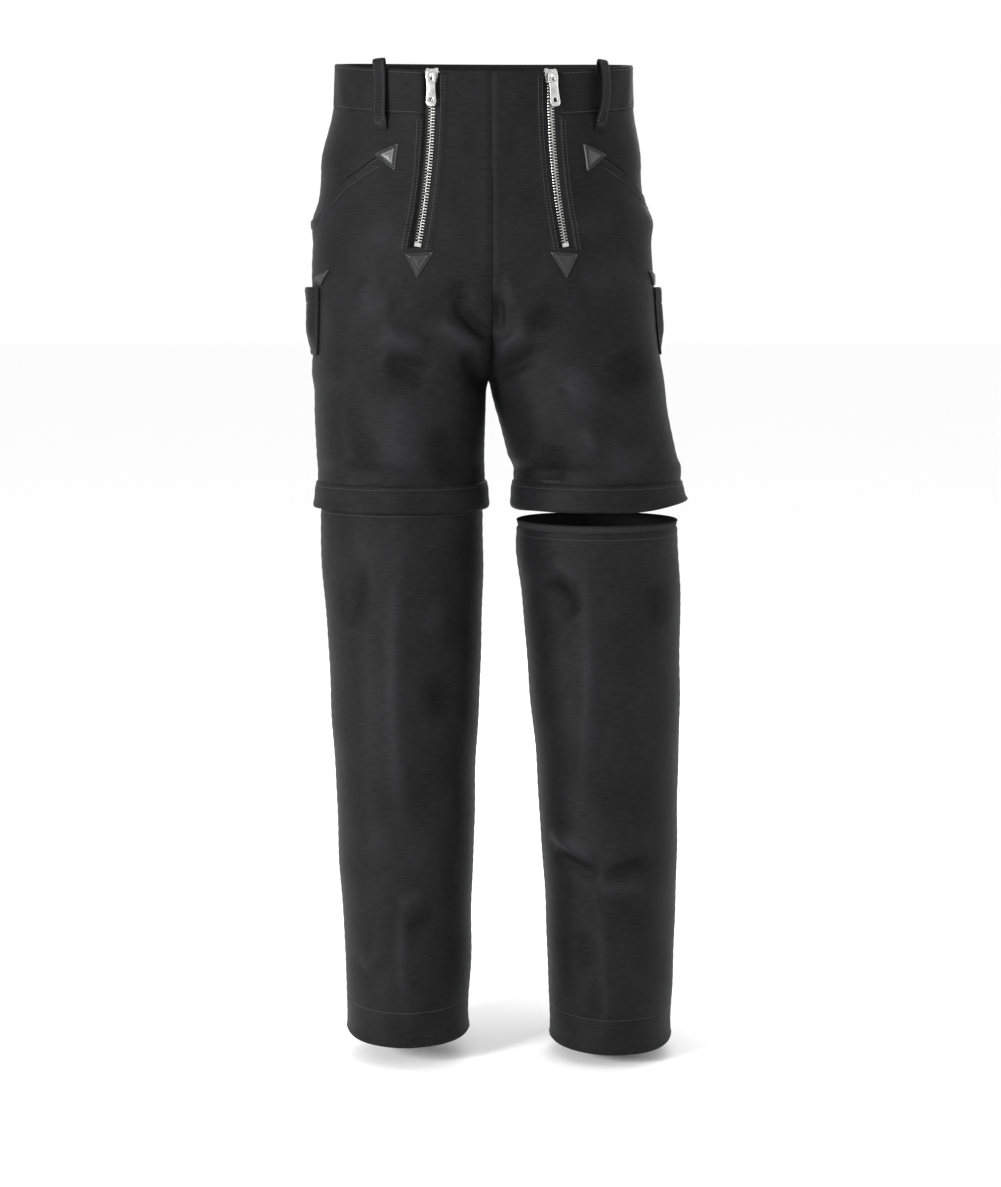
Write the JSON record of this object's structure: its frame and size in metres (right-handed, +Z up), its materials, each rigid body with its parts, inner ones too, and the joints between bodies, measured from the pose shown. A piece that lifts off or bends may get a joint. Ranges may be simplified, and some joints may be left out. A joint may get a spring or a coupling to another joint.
{
  "type": "zip-off work trousers",
  "caption": "Black guild work trousers with two curved metal front zips, leather corner patches, belt loops, pockets and legs that zip off under a flap above the knee.",
  "frame": {"origin": "middle of the waistband opening on the centre seam, at the height of the rim at the wearer's sides", "axes": "+Z up, +X towards the wearer's left, front facing -Y"},
  "size_m": [0.4129, 0.2569, 1.096],
  "materials": {
    "cloth": "matt satin-weave cotton, charcoal black",
    "zip_tape_and_lining": "matt black",
    "leather": "glossy black with raised edges",
    "metal": "bright nickel-plated"
  },
  "bodies": {
    "garment": {"front_panel_right": "cloth", "back_panel_right": "cloth", "waistband_right": "cloth", "fly_zip_tape_inner_right": "zip_tape_and_lining", "fly_zip_chain_inner_right": "metal", "fly_zip_tape_outer_right": "zip_tape_and_lining", "fly_zip_chain_outer_right": "metal", "fly_zip_bottom_stop_right": "metal", "hip_pocket_bag_right": "zip_tape_and_lining", "thigh_pocket_right": "cloth", "back_pocket_right": "cloth", "belt_loop_front_right": "cloth", "belt_loop_rear_right": "cloth", "hip_pocket_patch_right": "leather", "fly_end_patch_right": "leather", "back_pocket_patch_right": "leather", "thigh_pocket_patch_right": "leather", "leg_zip_upper_tape_right": "zip_tape_and_lining", "hem_flap_right": "cloth", "front_panel_left": "cloth", "back_panel_left": "cloth", "waistband_left": "cloth", "fly_zip_tape_inner_left": "zip_tape_and_lining", "fly_zip_chain_inner_left": "metal", "fly_zip_tape_outer_left": "zip_tape_and_lining", "fly_zip_chain_outer_left": "metal", "fly_zip_bottom_stop_left": "metal", "hip_pocket_bag_left": "zip_tape_and_lining", "thigh_pocket_left": "cloth", "back_pocket_left": "cloth", "belt_loop_front_left": "cloth", "belt_loop_rear_left": "cloth", "hip_pocket_patch_left": "leather", "fly_end_patch_left": "leather", "back_pocket_patch_left": "leather", "thigh_pocket_patch_left": "leather", "leg_zip_upper_tape_left": "zip_tape_and_lining", "hem_flap_left": "cloth", "belt_loop_centre_back": "cloth"},
    "fly_slider_right": {"fly_zip_slider_right": "metal"},
    "fly_pull_right": {"fly_zip_pull_right": "metal"},
    "leg_slider_right": {"leg_zip_slider_right": "metal"},
    "leg_pull_right": {"leg_zip_pull_right": "metal"},
    "lower_leg_right": {"lower_leg_front_right": "cloth", "lower_leg_back_right": "cloth", "hem_band_right": "cloth", "leg_zip_lower_tape_right": "zip_tape_and_lining"},
    "fly_slider_left": {"fly_zip_slider_left": "metal"},
    "fly_pull_left": {"fly_zip_pull_left": "metal"},
    "leg_slider_left": {"leg_zip_slider_left": "metal"},
    "leg_pull_left": {"leg_zip_pull_left": "metal"},
    "lower_leg_left": {"lower_leg_front_left": "cloth", "lower_leg_back_left": "cloth", "hem_band_left": "cloth", "leg_zip_lower_tape_left": "zip_tape_and_lining"}
  },
  "joints": [
    {"name": "fly_zip_slide_right", "type": "hinge", "parent": "garment", "child": "fly_slider_right", "pos_m": [-0.92792, 0.04781, -0.03598], "axis": [0.1765, 0.9833, -0.0455], "range_deg": [0, 10.6]},
    {"name": "fly_zip_pull_hinge_right", "type": "hinge", "parent": "fly_slider_right", "child": "fly_pull_right", "pos_m": [-0.06246, -0.11048, -0.01803], "axis": [-0.9842, 0.1757, -0.0202], "range_deg": [0, 150]},
    {"name": "leg_zip_run_right", "type": "hinge", "parent": "garment", "child": "leg_slider_right", "pos_m": [-0.0945, 0, -0.461], "axis": [0, 0, -1], "range_deg": [0, 335]},
    {"name": "leg_zip_pull_hinge_right", "type": "hinge", "parent": "leg_slider_right", "child": "leg_pull_right", "pos_m": [-0.18327, 0.01887, -0.459], "axis": [0.2079, 0.9781, 0], "range_deg": [0, 8]},
    {"name": "lower_leg_slide_right", "type": "slide", "parent": "garment", "child": "lower_leg_right", "axis": [0, 0, -1], "range_m": [0, 0.12]},
    {"name": "fly_zip_slide_left", "type": "hinge", "parent": "garment", "child": "fly_slider_left", "pos_m": [0.92136, 0.08164, -0.03598], "axis": [0.214, -0.9757, 0.0476], "range_deg": [0, 10.6]},
    {"name": "fly_zip_pull_hinge_left", "type": "hinge", "parent": "fly_slider_left", "child": "fly_pull_left", "pos_m": [0.06258, -0.10966, -0.01802], "axis": [-0.9768, -0.2133, 0.0202], "range_deg": [0, 150]},
    {"name": "leg_zip_run_left", "type": "hinge", "parent": "garment", "child": "leg_slider_left", "pos_m": [0.119, 0, -0.461], "axis": [0, 0, 1], "range_deg": [0, 335]},
    {"name": "leg_zip_pull_hinge_left", "type": "hinge", "parent": "leg_slider_left", "child": "leg_pull_left", "pos_m": [0.20777, 0.01887, -0.459], "axis": [0.2079, -0.9781, 0], "range_deg": [0, 8]},
    {"name": "lower_leg_slide_left", "type": "slide", "parent": "garment", "child": "lower_leg_left", "axis": [0, 0, 1], "range_m": [0, 0.026]}
  ]
}
